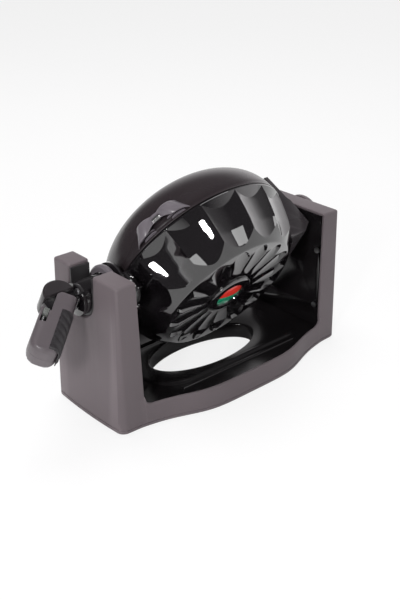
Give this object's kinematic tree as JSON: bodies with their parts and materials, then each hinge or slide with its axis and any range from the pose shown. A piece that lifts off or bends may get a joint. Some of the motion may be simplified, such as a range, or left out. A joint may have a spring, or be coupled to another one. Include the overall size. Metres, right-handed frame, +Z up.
{
  "type": "waffle cone maker",
  "caption": "Rotating waffle cone maker: a round hinged iron with a fluted half and a smooth half turns over between two posts of a low stand, with a folding handle.",
  "frame": {"origin": "on the table under the middle of the whole object's bounding box", "axes": "+X along the stand from the handle post to the cord post, +Z up, -Y towards the user's side where the fluted half leans"},
  "size_m": [0.3982, 0.1651, 0.2228],
  "materials": {
    "shell": "satin",
    "dark_plastic": "satin",
    "gloss_black": "glossy",
    "dome_coat": "satin",
    "cover_plastic": "matt",
    "foot_rubber": "matt",
    "steel": "bright",
    "zinc_steel": "zinc plated",
    "nylon": "satin",
    "bearing_nylon": "satin",
    "cord_rubber": "matt",
    "plate_metal": "non-stick coated",
    "element_steel": "heat dulled",
    "reflector_metal": "bright rolled",
    "ceramic": "matt",
    "red_lens": "glossy",
    "green_lens": "glossy",
    "lamp_glass": "clear",
    "collar_grey": "satin",
    "grip_plastic": "satin",
    "pad_plastic": "matt",
    "slider_plastic": "satin",
    "spring_steel": "bright"
  },
  "bodies": {
    "stand": {"stand_shell": "shell", "base_deck": "dark_plastic", "bottom_cover": "cover_plastic", "rubber_feet": "foot_rubber", "base_screws": "zinc_steel", "left_post_liner": "dark_plastic", "right_post_liner": "dark_plastic", "liner_screws": "zinc_steel", "journal_saddle": "nylon", "trunnion_bush": "bearing_nylon", "pivot_cap": "shell", "strain_relief": "cord_rubber"},
    "fluted_half": {"fluted_shell": "gloss_black", "fluted_plate": "plate_metal", "fluted_heater": "element_steel", "fluted_reflector": "reflector_metal", "fluted_plate_screws": "zinc_steel", "thermostat": "ceramic", "indicator_bezel": "gloss_black", "red_lens": "red_lens", "green_lens": "green_lens", "lamp_holder": "ceramic", "indicator_lamps": "lamp_glass", "handle_journal": "gloss_black", "journal_bracket": "gloss_black", "journal_screws": "zinc_steel", "thrust_collar": "collar_grey", "handle_arm": "gloss_black", "arm_screws": "zinc_steel", "handle_cap": "grip_plastic", "fold_pin": "steel", "hinge_bracket": "dark_plastic", "hinge_pin": "steel", "trunnion": "steel", "trunnion_screws": "zinc_steel", "retaining_ring": "spring_steel"},
    "smooth_half": {"smooth_shell": "dome_coat", "smooth_plate": "plate_metal", "smooth_heater": "element_steel", "smooth_reflector": "reflector_metal", "smooth_plate_screws": "zinc_steel", "thermal_fuse": "ceramic", "hinge_lug": "dark_plastic", "catch_pin": "steel", "catch_spring": "spring_steel"},
    "catch": {"lid_catch": "dark_plastic"},
    "grip": {"grip_upper_shell": "grip_plastic", "grip_lower_shell": "grip_plastic", "grip_screws": "zinc_steel", "grip_rib_pad": "pad_plastic", "lock_spring": "spring_steel"},
    "slider": {"fold_lock": "slider_plastic"}
  },
  "joints": [
    {"name": "iron_flip", "type": "hinge", "parent": "stand", "child": "fluted_half", "pos_m": [0.03108, 0.005, 0.127], "axis": [1, 0, 0], "range_deg": [-121, 59]},
    {"name": "lid_open", "type": "hinge", "parent": "fluted_half", "child": "smooth_half", "pos_m": [0.13498, 0.011, 0.1306], "axis": [0, 0.515, -0.8572], "range_deg": [0, 45]},
    {"name": "lid_catch_release", "type": "hinge", "parent": "smooth_half", "child": "catch", "pos_m": [-0.04966, -0.0232, 0.19606], "axis": [-0.6909, 0.3724, -0.6197], "range_deg": [0, 14], "stiffness_Nm_per_rad": 0.2},
    {"name": "handle_fold", "type": "hinge", "parent": "fluted_half", "child": "grip", "pos_m": [-0.14392, 0.005, 0.127], "axis": [0, -0.515, 0.8572], "range_deg": [-43, 47]},
    {"name": "fold_lock_slide", "type": "slide", "parent": "grip", "child": "slider", "axis": [-0.7314, -0.5846, -0.3513], "range_m": [0, 0.008], "stiffness_N_per_m": 20, "deforming": ["lock_spring"]}
  ]
}
